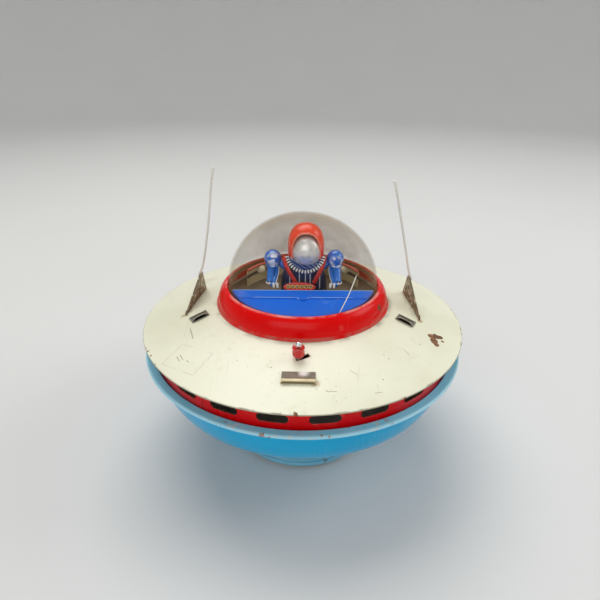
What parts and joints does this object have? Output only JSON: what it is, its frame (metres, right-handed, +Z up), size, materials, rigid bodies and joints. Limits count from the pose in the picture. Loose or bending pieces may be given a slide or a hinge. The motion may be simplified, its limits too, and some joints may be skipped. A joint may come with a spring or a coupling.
{
  "type": "tin flying saucer toy",
  "caption": "Tin flying saucer toy with a pilot under a clear dome, wire antennas, a red knobbed stop lever and a clockwork drive on small wheels.",
  "frame": {"origin": "on the ground under the middle of the saucer", "axes": "+Z up, the saucer's front with the lever faces -Y, +X is to the right seen from the front"},
  "size_m": [0.165, 0.165, 0.1517],
  "materials": {
    "cream_paint": "gloss enamel on tin, aged",
    "red_paint": "gloss enamel on tin, worn",
    "bowl_paint": "gloss lithographed tin",
    "ring_paint": "light blue enamel, rusted",
    "plain_tin": "bare tinplate, dull",
    "clear_plastic": "aged clear plastic, scratched",
    "floor_tin": "dark enamel",
    "cowl_paint": "gloss blue enamel",
    "bulkhead_paint": "cream and brown print on tin",
    "lamp_plastic": "gloss",
    "suit_dark": "semi-gloss",
    "suit_blue": "gloss",
    "face_plastic": "matte",
    "hood_plastic": "gloss",
    "visor_silver": "silvered plastic",
    "bead_plastic": "gloss",
    "strap_red": "satin",
    "dial_yellow": "satin",
    "rusty_tin": "tarnished and rusted tinplate",
    "wire_steel": "bare wire",
    "scoop_chrome": "worn plating with rust",
    "knob_plastic": "moulded gloss",
    "steel": "machined",
    "brass": "dull brass",
    "spring_steel": "blued",
    "tyre_rubber": "matte"
  },
  "bodies": {
    "root": {"upper_deck": "cream_paint", "window_band": "red_paint", "lower_bowl": "bowl_paint", "base_skirt": "ring_paint", "base_plate": "plain_tin", "dome_ring": "red_paint", "dome": "clear_plastic", "cockpit_floor": "floor_tin", "cockpit_cowl": "cowl_paint", "rear_bulkhead": "bulkhead_paint", "bulkhead_lamps": "lamp_plastic", "pilot_torso": "suit_dark", "pilot_left_arm": "suit_blue", "pilot_right_arm": "suit_blue", "pilot_head": "face_plastic", "pilot_hood": "hood_plastic", "pilot_visor": "visor_silver", "pilot_collar": "bead_plastic", "pilot_straps": "strap_red", "control_panel": "red_paint", "panel_dials": "dial_yellow", "left_antenna_fin": "rusty_tin", "right_antenna_fin": "rusty_tin", "left_antenna_wire": "wire_steel", "right_antenna_wire": "wire_steel", "front_scoop": "scoop_chrome", "left_scoop": "scoop_chrome", "right_scoop": "scoop_chrome", "lever_pivot": "steel", "movement_bottom_plate": "brass", "movement_top_plate": "brass", "movement_pillars": "brass", "movement_feet": "steel", "movement_screws": "steel", "mainspring": "spring_steel", "axle_frame": "plain_tin", "guide_pivot": "steel"},
    "winding": {"winding_arbor": "steel", "winding_key": "plain_tin", "ratchet_wheel": "steel"},
    "great_wheel": {"great_wheel": "brass", "click_spring": "steel"},
    "click": {"click": "steel"},
    "second": {"second_arbor": "steel", "second_wheel": "brass"},
    "drive_shaft": {"drive_shaft": "steel", "third_wheel": "brass"},
    "governor": {"governor_arbor": "steel", "governor_flywheel": "brass"},
    "drive_axle": {"drive_axle": "steel", "crown_wheel": "brass", "left_drive_wheel": "tyre_rubber", "right_drive_wheel": "tyre_rubber"},
    "stop_lever": {"stop_lever": "plain_tin", "lever_knob": "knob_plastic", "knob_cap": "steel"},
    "guide_bracket": {"guide_bracket": "plain_tin", "guide_axle": "steel"},
    "guide_wheel": {"guide_wheel": "tyre_rubber"}
  },
  "joints": [
    {"name": "drive_axle_spin", "type": "hinge", "parent": "root", "child": "drive_axle", "pos_m": [0, 0.014, 0.009], "axis": [1, 0, 0], "continuous": true},
    {"name": "drive_shaft_spin", "type": "hinge", "parent": "root", "child": "drive_shaft", "pos_m": [0, 0.014, 0.04], "axis": [0, 0, 1], "continuous": true},
    {"name": "second_wheel_spin", "type": "hinge", "parent": "root", "child": "second", "pos_m": [0.01041, 0.03108, 0.05], "axis": [0, 0, 1], "continuous": true},
    {"name": "great_wheel_spin", "type": "hinge", "parent": "root", "child": "great_wheel", "pos_m": [0, 0.05, 0.052], "axis": [0, 0, 1], "continuous": true},
    {"name": "winding_spin", "type": "hinge", "parent": "root", "child": "winding", "pos_m": [0, 0.05, 0.03], "axis": [0, 0, 1], "continuous": true},
    {"name": "governor_spin", "type": "hinge", "parent": "root", "child": "governor", "pos_m": [-0.01131, 0.00052, 0.05], "axis": [0, 0, 1], "continuous": true},
    {"name": "click_lift", "type": "hinge", "parent": "great_wheel", "child": "click", "pos_m": [-0.0032, 0.0394, 0.0536], "axis": [0, 0, 1], "range_deg": [-12, 0], "stiffness_Nm_per_rad": 0.001, "springref_deg": 11.46},
    {"name": "stop_lever_swing", "type": "hinge", "parent": "root", "child": "stop_lever", "pos_m": [-0.0094, -0.0316, 0.076], "axis": [0, 0, 1], "range_deg": [0, 10]},
    {"name": "guide_swivel", "type": "hinge", "parent": "root", "child": "guide_bracket", "pos_m": [0, -0.015, 0.0065], "axis": [0, 0, 1], "range_deg": [-20, 20]},
    {"name": "guide_wheel_spin", "type": "hinge", "parent": "guide_bracket", "child": "guide_wheel", "pos_m": [0, -0.024, 0.0046], "axis": [1, 0, 0], "continuous": true}
  ],
  "couplings": [
    {"joint": "drive_shaft_spin", "follows": "drive_axle_spin", "ratio": 1.6},
    {"joint": "second_wheel_spin", "follows": "drive_axle_spin", "ratio": -0.4},
    {"joint": "great_wheel_spin", "follows": "drive_axle_spin", "ratio": 0.090909},
    {"joint": "winding_spin", "follows": "drive_axle_spin", "ratio": 0.090909},
    {"joint": "governor_spin", "follows": "drive_axle_spin", "ratio": -7.2}
  ]
}
